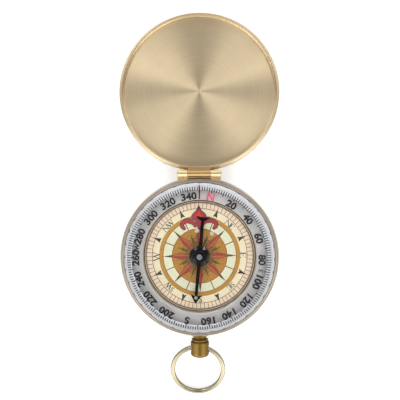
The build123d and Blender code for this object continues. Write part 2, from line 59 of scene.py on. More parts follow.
# ---------------------------------------------------------------- degree scale, millimetres
BEZEL_TURN = -11.0  # degrees, the scale's zero against the index mark
SCALE_OFFSET = (-0.2, -0.4)  # the print's centre against the lens's
TICK_STEP = 2  # degrees
TICK_OUTER = 22.6
TICK_LENGTH = 1.25
LONG_TICK_LENGTH = 1.75
TICK_WIDTH = 0.3
# the band between these two radii is painted white as a painted highlight of the lens's bevelled edge
GLINT_BAND_INNER = 22.65
GLINT_BAND_OUTER = 23.3
LABEL_STEP = 20  # degrees
LABEL_RADIUS = 19.62
LABEL_SIZE = 2.95
LABEL_WEIGHT = 0.13
LABEL_SQUEEZE = 1.1
NORTH_SIZE = 3.304
SMALL_LABEL_SIZE = 1.9
EAST_WEIGHT = 0.04
WEST_WEIGHT = 0.09

# ---------------------------------------------------------------- silver ring under the ticks, millimetres
UNDERLAY_INNER = 21.3
UNDERLAY_GAP = 0.06  # between the ring and the film above it
INDEX_WIDTH = 0.45

# ---------------------------------------------------------------- pale discs under the lens, millimetres
LUME_DISC_RADIUS = 0.68
LUME_RADIUS = 8.5
LUME_AZIMUTH = 11.0  # degrees, midway between the two dots
LUME_SPREAD = 16.5  # degrees
LUME_DROP = 0.04  # below the film

# ---------------------------------------------------------------- rose card, millimetres
DIAL_TURN = 0.9  # degrees, the card against the case
MAIN_AZIMUTHS = [45 * i for i in range(8)]
MINOR_AZIMUTHS = [22.5 + 45 * i for i in range(8)]
THIN_AZIMUTHS = [11.25 + 22.5 * i for i in range(16)]
DISC_RADIUS = 8.8
DISC_EDGE_INNER = 5.9  # the disc's yellower outer band starts here
PANEL_COUNT = 16
PANEL_GAP = 1.6  # degrees, from a panel to its dividing line
PANEL_INNER = 9.15
PANEL_OUTER = 11.45
PANEL_STEPS = 6  # straight pieces along a panel's curved edge
PANEL_LINE_WIDTH = 0.26
PANEL_LINE_END = 11.65
RING_INNER = 11.75
RING_OUTER = 12.95
RING_LINE_WIDTH = 0.16
DISC_LINE_WIDTH = 0.14
TRACK_INNER_LINE_WIDTH = 0.16
TRACK_OUTER_LINE_WIDTH = 0.12
TRACK_LINE = 15.15
TRACK_INNER = 15.25
TRACK_OUTER = 16.95
TRACK_DIVISIONS = 80
TRACK_BAR_WIDTH = 0.14
RIM_LINES = ((17.9, 17.55), (17.35, 17.1))  # outer and inner radius of each

# each kite: radius of its foot, of its widest place and of its tip, then its half width
TIP_KITE = (6.0, 8.8, 11.75, 0.42)
RAY_KITE = (2.4, 6.2, 9.4, 0.78)
OUTLINE_KITE = (2.4, 6.2, 9.9, 1.0)
MINOR_KITE = (2.6, 4.6, 7.6, 0.5)
THIN_KITE = (2.6, 3.4, 6.2, 0.2)
CHEVRON = ((-0.9, 5.1), (0, 5.5), (0.9, 5.1), (0, 5.3))
ROSE_RINGS = ((5.87, 5.7), (4.45, 4.3))  # outer and inner radius of each

LILY_OUTLINE_GROWTH = 0.13
LILY_FILL_SHRINKAGE = 0.1

LETTER_RADIUS = 13.85  # of the letters' middles
LETTER_GAP = 0.22
CORNER_LETTER_HEIGHT = 1.65
MAIN_LETTER_HEIGHT = 2.05
LETTER_THIN = 0.15
LETTER_THICK = 0.34
SERIF_WIDTH = 0.46
SERIF_HEIGHT = 0.12
SERIF_DROP = 0.1  # from a letter's top down to its upper serifs' lower edge
E_STEM_PLACE = 0.1  # middle of the upright of an E, from the letter's left edge
S_SIZE_SHARE = 1.32  # font size of an S over its height
LETTER_WIDTHS = {"N": 0.95, "E": 0.7, "W": 1.25, "S": 0.6}  # over the letter's height

# ---------------------------------------------------------------- camera and surroundings
CAMERA_PLACE = (3.47, 23.94, 177.35)  # millimetres
CAMERA_TURN = (-0.035, 0.019, -0.003)  # radians
CAMERA_LENS = 49.0  # millimetres
SENSOR_WIDTH = 36.0
CLIP_RANGE = (0.01, 5.0)  # metres

FLOOR_HALF_WIDTH = 1.5  # metres
FLOOR_DROP = 0.00002  # below the case's underside
FLOOR_GLOW = 0.5  # seen by the camera only

ROOM_LEAN = 20.0  # degrees, how far the room's axis leans away from the pendant's side
ROOM_COLOUR = (1.0, 0.985, 0.96, 1.0)
WALL_GLOW = 0.34
END_WALL_GAIN = 1.35  # extra glow of the walls at the hinge's and the pendant's end
CORNER_GLOW = 1.7
NEAR_CORNER_GAIN = 1.3  # given to the corners at the pendant's end and taken from the other two
GAP_DIRECTION = (0.0, -0.25, 1.0)  # dim gap overhead, so that the lens stays clear
GAP_INNER = 16.5  # degrees
GAP_OUTER = 21.5
GAP_GLOW = 0.06
SOFTBOX_PLACE = (0.207, 0.3, 0.425)  # metres, the other one is its mirror image in X
SOFTBOX_SIZE = (0.06, 0.03)
SOFTBOX_POWER = 0.21  # watts


# ================================================================ materials
class NodeTree:
    """A node tree with short calls for the nodes that the materials and the world share."""

    def __init__(self, owner):
        owner.use_nodes = True
        self.tree = owner.node_tree

    def node(self, kind, **settings):
        made = self.tree.nodes.new(kind)
        for key, value in settings.items():
            setattr(made, key, value)
        return made

    def link(self, source, target):
        self.tree.links.new(source, target)

    def feed(self, made, *sources):
        """Gives a node's first sockets a value or a link each."""
        for socket, source in zip(made.inputs, sources):
            if source is None:
                continue
            if isinstance(source, (int, float, tuple, Vector)):
                socket.default_value = source
            else:
                self.link(source, socket)

    def maths(self, operation, a, b=None):
        made = self.node("ShaderNodeMath", operation=operation)
        self.feed(made, a, b)
        return made.outputs[0]

    def vector(self, operation, a, b=None):
        made = self.node("ShaderNodeVectorMath", operation=operation)
        self.feed(made, a, b)
        return made.outputs["Value" if operation in ("LENGTH", "DOT_PRODUCT") else "Vector"]

    def spread(self, value, low, high, from_low=0.25, from_high=0.75, smooth=False):
        """Maps a value to a range."""
        made = self.node("ShaderNodeMapRange", interpolation_type="SMOOTHSTEP" if smooth else "LINEAR")
        self.link(value, made.inputs["Value"])
        made.inputs["From Min"].default_value = from_low
        made.inputs["From Max"].default_value = from_high
        made.inputs["To Min"].default_value = low
        made.inputs["To Max"].default_value = high
        return made.outputs["Result"]


class Shader(NodeTree):
    """A material about a Principled BSDF, with its textures."""

    def __init__(self, name):
        self.material = bpy.data.materials.new(name)
        super().__init__(self.material)
        self.bsdf = self.tree.nodes["Principled BSDF"]
        self.output = self.tree.nodes["Material Output"]

    def set(self, **values):
        for key, value in values.items():
            self.bsdf.inputs[key.replace("_", " ")].default_value = value

    def coords(self):
        """Coordinates in the row's frame, in metres."""
        return self.node("ShaderNodeTexCoord").outputs["Object"]

    def noise(self, scale, detail=3.0, vector=None, dimensions="3D", w=None):
        made = self.node("ShaderNodeTexNoise", noise_dimensions=dimensions)
        made.inputs["Scale"].default_value = scale
        made.inputs["Detail"].default_value = detail
        if dimensions == "1D":
            self.link(w, made.inputs["W"])
        else:
            self.link(vector or self.coords(), made.inputs["Vector"])
        return made.outputs["Fac"]

    def ramp(self, value, *stops):
        """Colour ramp from (position, colour) stops."""
        made = self.node("ShaderNodeValToRGB")
        elements = made.color_ramp.elements
        while len(elements) < len(stops):
            elements.new(0.5)
        for element, (position, colour) in zip(elements, stops):
            element.position = position
            element.color = (*colour, 1.0)
        self.link(value, made.inputs["Fac"])
        return made.outputs["Color"]

    def paint(self, value, *stops):
        """Base colour from a colour ramp."""
        self.link(self.ramp(value, *stops), self.bsdf.inputs["Base Color"])

    def polish(self, value, low, high):
        """Roughness from a value, between two limits."""
        self.link(self.spread(value, low, high), self.bsdf.inputs["Roughness"])

    def bump(self, height, strength, distance):
        made = self.node("ShaderNodeBump")
        made.inputs["Strength"].default_value = strength
        made.inputs["Distance"].default_value = distance
        self.link(height, made.inputs["Height"])
        self.link(made.outputs["Normal"], self.bsdf.inputs["Normal"])


def tinted(colour, factor):
    """Colour made lighter or darker."""
    return tuple(min(1.0, channel * factor) for channel in colour)


def brass(name, colour, roughness, grain=0.03, scale=900.0):
    """Polished or satin brass with faint tarnish clouds and fine handling marks."""
    s = Shader(name)
    s.set(Metallic=1.0)
    clouds = s.noise(scale * 0.25, 4.0)
    s.paint(clouds, (0.3, tinted(colour, 0.93)), (0.7, tinted(colour, 1.04)))
    marks = s.noise(scale * 2.2, 5.0)
    s.polish(marks, roughness * 0.85, roughness * 1.2)
    s.bump(marks, grain, 0.00002)
    return s.material


def turned_brass(name, colour, roughness, anisotropy, centre, axis, lines=2200.0, grain=0.2):
    """Brass with circular tool marks about an axis, in the row's frame.

    The highlights stretch along the tangent, so it points outwards, across the marks.
    """
    s = Shader(name)
    s.set(Metallic=1.0, Anisotropic=anisotropy)
    arm = s.vector("SUBTRACT", s.coords(), tuple(centre))
    around = s.vector("CROSS_PRODUCT", tuple(axis), arm)
    outward = s.vector("CROSS_PRODUCT", around, tuple(axis))
    radius = s.vector("LENGTH", around)
    to_world = s.node("ShaderNodeVectorTransform")
    to_world.vector_type = "VECTOR"
    to_world.convert_from = "OBJECT"
    to_world.convert_to = "WORLD"
    s.link(s.vector("NORMALIZE", outward), to_world.inputs[0])
    s.link(to_world.outputs[0], s.bsdf.inputs["Tangent"])
    rings = s.noise(lines, 4.0, dimensions="1D", w=radius)
    clouds = s.noise(160.0, 3.0)
    both = s.maths("ADD", s.maths("MULTIPLY", rings, 0.6), s.maths("MULTIPLY", clouds, 0.4))
    s.paint(both, (0.35, tinted(colour, 0.93)), (0.65, tinted(colour, 1.06)))
    s.polish(rings, roughness * 0.9, roughness * 1.12)
    s.bump(rings, grain, 0.000012)
    return s.material


def ink(name, colour, roughness=0.45, mottle=0.08):
    """Printing ink or paint with slight mottling."""
    s = Shader(name)
    patches = s.noise(2600.0, 3.0)
    s.paint(patches, (0.3, tinted(colour, 1 - mottle)), (0.7, tinted(colour, 1 + mottle)))
    s.polish(patches, roughness * 0.9, roughness * 1.1)
    s.bump(patches, 0.05, 0.00001)
    return s.material


def card(name, colour):
    """Coated card with a fine fibre texture."""
    s = Shader(name)
    fibres = s.noise(3500.0, 5.0)
    clouds = s.noise(220.0, 2.0)
    mixed = s.maths("ADD", s.maths("MULTIPLY", fibres, 0.35), s.maths("MULTIPLY", clouds, 0.65))
    s.paint(mixed, (0.35, tinted(colour, 0.95)), (0.65, tinted(colour, 1.03)))
    s.set(Roughness=0.5)
    s.bump(fibres, 0.08, 0.00002)
    return s.material


def satin_metal(name, colour, roughness, metallic=1.0):
    """Blasted or silvered metal with a fine even grain."""
    s = Shader(name)
    s.set(Metallic=metallic)
    grains = s.noise(5200.0, 3.0)
    clouds = s.noise(140.0, 2.0)
    s.paint(clouds, (0.3, tinted(colour, 0.94)), (0.7, tinted(colour, 1.05)))
    s.polish(grains, roughness * 0.85, roughness * 1.2)
    s.bump(grains, 0.2, 0.00001)
    return s.material


def black_enamel(name, colour, roughness, specular, coat):
    """Enamel over metal, matt or glossy."""
    s = Shader(name)
    s.set(Specular_IOR_Level=specular, Coat_Weight=coat, Coat_Roughness=0.06)
    dust = s.noise(900.0, 2.0)
    s.paint(dust, (0.3, colour), (0.75, tinted(colour, 1.6)))
    s.polish(dust, roughness * 0.8, roughness * 1.3)
    s.bump(dust, 0.03, 0.00001)
    return s.material


def moulded(name, colour, roughness):
    """Moulded plastic or rubber with a fine sparked texture."""
    s = Shader(name)
    sparks = s.noise(4200.0, 2.0)
    s.paint(sparks, (0.3, tinted(colour, 0.85)), (0.7, tinted(colour, 1.15)))
    s.polish(sparks, roughness * 0.9, min(1.0, roughness * 1.1))
    s.bump(sparks, 0.25, 0.00002)
    return s.material


def clear_acrylic(name):
    """Clear acrylic that lets lamps through to the dial."""
    s = Shader(name)
    s.set(Transmission_Weight=1.0, IOR=1.49)
    s.bsdf.inputs["Base Color"].default_value = (0.985, 0.99, 1.0, 1.0)
    wear = s.noise(700.0, 4.0)
    s.polish(wear, 0.0, 0.035)
    light_path = s.node("ShaderNodeLightPath")
    through = s.node("ShaderNodeBsdfTransparent")
    through.inputs["Color"].default_value = (0.985, 0.988, 0.99, 1.0)
    mix = s.node("ShaderNodeMixShader")
    s.link(light_path.outputs["Is Shadow Ray"], mix.inputs[0])
    s.link(s.bsdf.outputs[0], mix.inputs[1])
    s.link(through.outputs[0], mix.inputs[2])
    s.link(mix.outputs[0], s.output.inputs["Surface"])
    return s.material


# ================================================================ mesh helpers
def piece(name, mesh, material, body):
    """Links a mesh given in millimetres as a piece that rides on a body."""
    mesh.transform(Matrix.Scale(MM, 4))
    obj = bpy.data.objects.new(name, mesh)
    bpy.context.scene.collection.objects.link(obj)
    mesh.materials.clear()
    mesh.materials.append(material)
    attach(obj, body)
    return obj


def joined(name, meshes):
    """One mesh out of several, which are used up."""
    bm = bmesh.new()
    for mesh in meshes:
        bm.from_mesh(mesh)
        bpy.data.meshes.remove(mesh)
    made = bpy.data.meshes.new(name)
    bmesh.ops.remove_doubles(bm, verts=bm.verts, dist=1e-6)
    bmesh.ops.recalc_face_normals(bm, faces=bm.faces)
    bm.to_mesh(made)
    bm.free()
    return made


def from_curve(curve, transform):
    """Closed mesh of a filled curve or text, moved by a transform."""
    temporary = bpy.data.objects.new("temporary", curve)
    mesh = bpy.data.meshes.new_from_object(temporary)
    bpy.data.objects.remove(temporary)
    bpy.data.curves.remove(curve)
    mesh.transform(transform)
    return mesh


def flat_curve(grow=0.0):
    """Empty 2D curve, filled and as thick as the print."""
    curve = bpy.data.curves.new("flat", "CURVE")
    curve.dimensions = "2D"
    curve.fill_mode = "BOTH"
    curve.extrude = PRINT_THICKNESS / 2
    curve.offset = grow
    curve.resolution_u = 8
    return curve


def add_polygon(curve, points):
    spline = curve.splines.new("POLY")
    spline.points.add(len(points) - 1)
    for point, (x, y) in zip(spline.points, points):
        point.co = (x, y, 0, 1)
    spline.use_cyclic_u = True


def add_smooth(curve, knots):
    """Closed Bezier outline through (x, y) knots, sharp at those with a third item."""
    spline = curve.splines.new("BEZIER")
    spline.bezier_points.add(len(knots) - 1)
    for point, knot in zip(spline.bezier_points, knots):
        point.co = (knot[0], knot[1], 0)
        handle = "VECTOR" if len(knot) > 2 else "AUTO"
        point.handle_left_type = handle
        point.handle_right_type = handle
    spline.use_cyclic_u = True


def circle(radius, segments=180):
    step = 2 * math.pi / segments
    return [(radius * math.sin(i * step), radius * math.cos(i * step)) for i in range(segments)]


def at(z, turn=0.0):
    """Transform to a height, turned by degrees about Z."""
    return Matrix.Translation((0, 0, z)) @ Matrix.Rotation(math.radians(turn), 4, "Z")


def polar(azimuth, radius, z):
    """Transform to a place on a dial, clockwise from 12 o'clock, with +Y outwards."""
    return at(z, -azimuth) @ Matrix.Translation((0, radius, 0))


def annulus(outer, inner, z):
    """Flat printed ring, or a disc where the inner radius is 0."""
    curve = flat_curve()
    add_polygon(curve, circle(outer))
    if inner > 0:
        add_polygon(curve, circle(inner))
    return from_curve(curve, at(z))


def polygon(outline, transform):
    """Flat printed shape from one outline."""
    curve = flat_curve()
    add_polygon(curve, outline)
    return from_curve(curve, transform)


def bar(width, inner, outer):
    """Outline of a bar along Y, from one radius to another."""
    half = width / 2
    return [(-half, inner), (half, inner), (half, outer), (-half, outer)]


def lettering(text, size, weight, transform, squeeze=1.0):
    """Plain sans lettering, centred."""
    curve = bpy.data.curves.new("text", "FONT")
    curve.body = text
    curve.size = size
    curve.offset = weight
    curve.extrude = PRINT_THICKNESS / 2
    curve.resolution_u = 4
    curve.align_x = "CENTER"
    curve.align_y = "CENTER"
    curve.space_character = 1.02
    return from_curve(curve, transform @ Matrix.Diagonal((squeeze, 1, 1, 1)))


# ================================================================ what the pieces stand on
def top_of(node):
    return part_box(node)[1][2] / MM


def bottom_of(node):
    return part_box(node)[0][2] / MM


CARD_TOP = top_of("rose_dial")
FILM_TOP = top_of("degree_scale")
FILM_BOTTOM = bottom_of("degree_scale")


# ================================================================ print on the bezel
def on_scale(degrees, radius):
    """Transform to a place on the degree scale, with +Y outwards."""
    centre = Matrix.Translation((*SCALE_OFFSET, 0))
    return centre @ polar(degrees - BEZEL_TURN, radius, FILM_BOTTOM + PRINT_THICKNESS)


def degree_ticks():
    """Ticks all round, longer on the tens."""
    bars = []
    for degrees in range(0, 360, TICK_STEP):
        length = LONG_TICK_LENGTH if degrees % 10 == 0 else TICK_LENGTH
        bars.append(polygon(bar(TICK_WIDTH, -length, 0), on_scale(degrees, TICK_OUTER)))
    return joined("degree_ticks", bars)


def scale_label(text, degrees, size, weight, squeeze=1.0):
    return lettering(text, size, weight, on_scale(degrees, LABEL_RADIUS), squeeze)


def scale_labels():
    """Numerals with S in place of 180, and the small E and W between them."""
    labels = []
    for degrees in range(LABEL_STEP, 360, LABEL_STEP):
        if degrees != 180:
            labels.append(scale_label(str(degrees), degrees, LABEL_SIZE, LABEL_WEIGHT, LABEL_SQUEEZE))
    labels.append(scale_label("S", 180, LABEL_SIZE, LABEL_WEIGHT, LABEL_SQUEEZE))
    labels.append(scale_label("E", 90, SMALL_LABEL_SIZE, EAST_WEIGHT))
    labels.append(scale_label("W", 270, SMALL_LABEL_SIZE, WEST_WEIGHT))
    return joined("numerals", labels)


def scale_border():
    """Painted highlight: a white band outside the ticks, on the film that turns with the lens, in place of
    the glint of the lens's bevelled edge.
    """
    # painted highlight: white paint where the lens's bevelled edge glints
    white = ink("painted_glint_white", (0.8, 0.8, 0.82), 0.35)
    glint_ring = annulus(GLINT_BAND_OUTER, GLINT_BAND_INNER, FILM_TOP + 2 * PRINT_LIFT)
    piece("scale_border", glint_ring, white, "bezel")


def scale_print():
    """Ticks, numerals and N, on the film that turns with the lens."""
    black = ink("scale_black", (0.012, 0.012, 0.016), 0.4, 0.2)
    pink = ink("scale_pink", (0.72, 0.1, 0.2), 0.4)
    north = joined("north", [scale_label("N", 0, NORTH_SIZE, LABEL_WEIGHT)])
    for made in (
        piece("scale_ticks", degree_ticks(), black, "bezel"),
        piece("scale_numerals", scale_labels(), black, "bezel"),
        piece("scale_north", north, pink, "bezel"),
    ):
        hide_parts("degree_scale")


def underlay():
    """Silver ring under the ticks, fixed to the case, with the index line on it."""
    silver = ink("underlay_silver", (0.7, 0.72, 0.75), 0.4)
    red = ink("underlay_red", (0.25, 0.01, 0.015), 0.4)
    height = FILM_BOTTOM - UNDERLAY_GAP
    piece("underlay_ring", annulus(GLINT_BAND_INNER, UNDERLAY_INNER, height), silver, "case")
    index = polygon(bar(INDEX_WIDTH, UNDERLAY_INNER, GLINT_BAND_INNER), at(height + PRINT_LIFT))
    piece("underlay_index", index, red, "case")


def lume_discs():
    """Pale discs under the lens, where the lume dots sit."""
    lume = ink("lume_pale", (0.5, 0.5, 0.35), 0.6)
    height = FILM_BOTTOM - LUME_DROP
    discs = []
    for side in (-1, 1):
        disc = annulus(LUME_DISC_RADIUS, 0, 0)
        disc.transform(polar(LUME_AZIMUTH + side * LUME_SPREAD, LUME_RADIUS, height))
        discs.append(disc)
    made = piece("lume_discs", joined("discs", discs), lume, "bezel")
    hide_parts("lume_dots")


# ================================================================ print on the rose card
def layer(number):
    """Height of a layer of print above the card."""
    return CARD_TOP + PRINT_LIFT * number


def kite(inner, widest, outer, half_width, side=0):
    """Ray of a wind rose: whole, or only its left or right half."""
    left = [(0, inner), (-half_width, widest), (0, outer)]
    right = [(0, outer), (half_width, widest), (0, inner)]
    if side < 0:
        return left
    if side > 0:
        return right
    return left + [(half_width, widest)]


def rays(azimuths, shape, number):
    """The same shape at each azimuth of the card."""
    return [polygon(shape, at(0, DIAL_TURN) @ polar(azimuth, 0, layer(number))) for azimuth in azimuths]


def ring_line(radius, width, number):
    return annulus(radius + width / 2, radius - width / 2, layer(number))


def card_piece(name, mesh, material):
    piece(name, mesh, material, "case")


def band_pieces(inks):
    """Rings, track and disc of the card."""
    rims = [annulus(outer, inner, layer(1)) for outer, inner in RIM_LINES]
    card_piece("card_rim_lines", joined("card_rim", rims), inks["brown"])
    card_piece("card_track", annulus(TRACK_OUTER, TRACK_INNER, layer(1)), inks["peach"])
    lines = [
        ring_line(TRACK_LINE, TRACK_INNER_LINE_WIDTH, 2),
        ring_line(TRACK_OUTER, TRACK_OUTER_LINE_WIDTH, 2),
        annulus(RING_INNER, RING_INNER - RING_LINE_WIDTH, layer(2)),
        ring_line(DISC_RADIUS, DISC_LINE_WIDTH, 2.5),
    ]
    track_azimuths = [360 / TRACK_DIVISIONS * i for i in range(TRACK_DIVISIONS)]
    lines += rays(track_azimuths, bar(TRACK_BAR_WIDTH, TRACK_LINE, TRACK_OUTER), 2)
    card_piece("card_track_lines", joined("track", lines), inks["line"])
    card_piece("card_orange_ring", annulus(RING_OUTER, RING_INNER, layer(1)), inks["orange"])
    card_piece("card_disc", annulus(DISC_RADIUS, 0, layer(1)), inks["ochre"])
    card_piece("card_disc_edge", annulus(DISC_RADIUS, DISC_EDGE_INNER, layer(1.5)), inks["amber"])


def arc(radius, start, end, steps):
    """Points along an arc, between two azimuths in degrees."""
    azimuths = [math.radians(start + (end - start) * k / steps) for k in range(steps + 1)]
    return [(radius * math.sin(azimuth), radius * math.cos(azimuth)) for azimuth in azimuths]


def panel_pieces(inks):
    """Pale green panels between the disc and the orange ring, with the lines that part them."""
    panels = []
    pitch = 360 / PANEL_COUNT
    for i in range(PANEL_COUNT):
        start, end = i * pitch + PANEL_GAP, (i + 1) * pitch - PANEL_GAP
        outer = arc(PANEL_OUTER, start, end, PANEL_STEPS)
        inner = arc(PANEL_INNER, start, end, PANEL_STEPS)
        panels.append(polygon(outer + inner[::-1], at(layer(1), DIAL_TURN)))
    card_piece("card_panels", joined("panels", panels), inks["green"])
    lines = rays(MINOR_AZIMUTHS, bar(PANEL_LINE_WIDTH, DISC_RADIUS, PANEL_LINE_END), 2)
    card_piece("card_panel_lines", joined("lines", lines), inks["brown"])


def star_pieces(inks):
    """Rays of the wind rose: eight main ones, eight minor ones and sixteen thin ones."""
    tips = rays(MAIN_AZIMUTHS, kite(*TIP_KITE), 3)
    card_piece("rose_tips", joined("tips", tips), inks["slate"])
    outlines = rays(MAIN_AZIMUTHS, kite(*OUTLINE_KITE), 3.5)
    card_piece("rose_outlines", joined("outlines", outlines), inks["line"])
    for name, side, colour in (("rose_rays_red", -1, "red"), ("rose_rays_light", 1, "salmon")):
        card_piece(name, joined(name, rays(MAIN_AZIMUTHS, kite(*RAY_KITE, side), 4)), inks[colour])
    olive = rays(MINOR_AZIMUTHS, kite(*MINOR_KITE), 3) + rays(MINOR_AZIMUTHS, CHEVRON, 3)
    olive += [annulus(outer, inner, layer(2.5)) for outer, inner in ROSE_RINGS]
    card_piece("rose_rays_olive", joined("olive", olive), inks["olive"])
    thin = rays(THIN_AZIMUTHS, kite(*THIN_KITE), 3)
    card_piece("rose_rays_thin", joined("thin", thin), inks["brown"])


def serif_bar(x, y, width=SERIF_WIDTH):
    half = width / 2
    return [(x - half, y), (x + half, y), (x + half, y + SERIF_HEIGHT), (x - half, y + SERIF_HEIGHT)]


def stroke(x1, y1, x2, y2, width):
    """Upright or slanting stroke with level ends."""
    half = width / 2
    return [(x1 - half, y1), (x1 + half, y1), (x2 + half, y2), (x2 - half, y2)]


def serif_letter(letter, height):
    """Outlines of a Roman N, E or W, its baseline at y = 0."""
    width = height * LETTER_WIDTHS[letter]
    top = height - SERIF_DROP
    if letter == "N":
        return [
            stroke(0, 0, 0, height, LETTER_THIN),
            stroke(width, 0, width, height, LETTER_THIN),
            stroke(width, 0, 0, height, LETTER_THICK),
            serif_bar(0, 0),
            serif_bar(0, top),
            serif_bar(width, top),
        ]
    if letter == "E":
        return [
            stroke(E_STEM_PLACE, 0, E_STEM_PLACE, height, LETTER_THICK),
            serif_bar(width / 2, 0, width),
            serif_bar(width / 2, top, width),
            serif_bar(width * 0.42, height / 2, width * 0.6),
            stroke(width, 0, width, height * 0.25, LETTER_THIN),
            stroke(width, height * 0.75, width, height, LETTER_THIN),
        ]
    left_foot, middle, right_foot = width * 0.28, width * 0.5, width * 0.74
    return [
        stroke(left_foot, 0, 0, height, LETTER_THICK),
        stroke(left_foot, 0, middle, height, LETTER_THIN),
        stroke(right_foot, 0, middle, height, LETTER_THICK),
        stroke(right_foot, 0, width, height, LETTER_THIN),
        serif_bar(0, top),
        serif_bar(middle, top),
        serif_bar(width, top),
    ]


def serif_word(word, azimuth, height):
    """Roman capitals on the card, their tops outwards."""
    meshes = []
    widths = [height * LETTER_WIDTHS[letter] for letter in word]
    cursor = -(sum(widths) + LETTER_GAP * (len(word) - 1)) / 2
    for letter, width in zip(word, widths):
        place = at(0, DIAL_TURN) @ polar(azimuth, LETTER_RADIUS - height / 2, layer(2))
        place = place @ Matrix.Translation((cursor, 0, 0))
        if letter == "S":
            centre = Matrix.Translation((width / 2, height / 2, 0))
            meshes.append(lettering("S", height * S_SIZE_SHARE, 0.0, place @ centre))
        else:
            meshes += [polygon(outline, place) for outline in serif_letter(letter, height)]
        cursor += width + LETTER_GAP
    return meshes


def letter_pieces(inks):
    """Cardinal letters, and the darts between them."""
    words = []
    for word, azimuth in (("NE", 45), ("SE", 135), ("SW", 225), ("NW", 315)):
        words += serif_word(word, azimuth, CORNER_LETTER_HEIGHT)
    for word, azimuth in (("E", 90), ("S", 180), ("W", 270)):
        words += serif_word(word, azimuth, MAIN_LETTER_HEIGHT)
    card_piece("card_letters", joined("letters", words), inks["umber"])
    dart = [(-0.78, 13.25), (0, 13.55), (0.78, 13.25), (0.36, 14.5)]
    dart += [(0.08, 15.9), (-0.08, 15.9), (-0.36, 14.5)]
    card_piece("card_darts", joined("darts", rays(MINOR_AZIMUTHS, dart, 3)), inks["slate"])


def fleur_shapes(curve):
    """Adds the lily at north: its middle petal and its two curled ones."""
    right = [(0.75, 14.6), (2.3, 12.7), (2.0, 11.9), (0.9, 10.9), (0.45, 9.4)]
    left = [(-x, y) for x, y in reversed(right)]
    add_smooth(curve, [(0, 15.4, 1), *right, (0, 8.4, 1), *left])
    for side in (-1, 1):
        knots = [(0.75, 9.9), (2.1, 11.3), (3.6, 12.0), (5.3, 11.3), (6.0, 9.9), (5.3, 8.65), (4.4, 8.6),
                 (4.5, 9.2), (4.9, 9.8), (4.4, 10.5), (3.2, 10.5), (2.0, 10.0), (1.3, 9.2)]
        knots = [(side * x, y) for x, y in knots]
        add_smooth(curve, knots if side > 0 else knots[::-1])


def fleur_pieces(inks):
    """Lily with a dark outline, and the spear above it."""
    place = at(layer(5), DIAL_TURN)
    outline = flat_curve(LILY_OUTLINE_GROWTH)
    fleur_shapes(outline)
    spear = polygon([(-0.75, 14.9), (0.75, 14.9), (0.2, 16.0), (0, 17.1), (-0.2, 16.0)], place)
    card_piece("fleur_outline", joined("outline", [from_curve(outline, place), spear]), inks["slate"])
    fill = flat_curve(-LILY_FILL_SHRINKAGE)
    fleur_shapes(fill)
    card_piece("fleur_fill", from_curve(fill, at(layer(6), DIAL_TURN)), inks["crimson"])
    heart = flat_curve()
    knots = [(0, 14.3, 1), (0.5, 13.5), (1.1, 12.8), (0.6, 12.2)]
    knots += [(0, 11.9), (-0.6, 12.2), (-1.1, 12.8), (-0.5, 13.5)]
    add_smooth(heart, knots)
    card_piece("fleur_heart", from_curve(heart, at(layer(7), DIAL_TURN)), inks["scarlet"])


def card_print():
    inks = {
        "orange": ink("ink_orange", (0.52, 0.27, 0.05), 0.45, 0.1),
        "peach": ink("ink_peach", (0.95, 0.76, 0.56)),
        "ochre": ink("ink_ochre", (0.45, 0.2, 0.04), 0.45, 0.22),
        "amber": ink("ink_amber", (0.45, 0.21, 0.035), 0.45, 0.3),
        "green": ink("ink_green", (0.78, 0.79, 0.56)),
        "line": ink("ink_line", (0.17, 0.065, 0.035)),
        "brown": ink("ink_brown", (0.09, 0.04, 0.03)),
        "slate": ink("ink_slate", (0.055, 0.055, 0.035)),
        "red": ink("ink_red", (0.36, 0.045, 0.035)),
        "salmon": ink("ink_salmon", (0.5, 0.12, 0.045)),
        "olive": ink("ink_olive", (0.13, 0.1, 0.014)),
        "umber": ink("ink_umber", (0.06, 0.045, 0.03)),
        "crimson": ink("ink_crimson", (0.45, 0.04, 0.06)),
        "scarlet": ink("ink_scarlet", (0.72, 0.07, 0.03)),
    }
    band_pieces(inks)
    panel_pieces(inks)
    star_pieces(inks)
    letter_pieces(inks)
    fleur_pieces(inks)


# ================================================================ materials of the CAD nodes
def dress(node, material):
    """Gives a CAD node its finish."""
    slots = frame["nodes"][node].data.materials
    if not slots:
        slots.append(material)
    for index in range(len(slots)):
        slots[index] = material


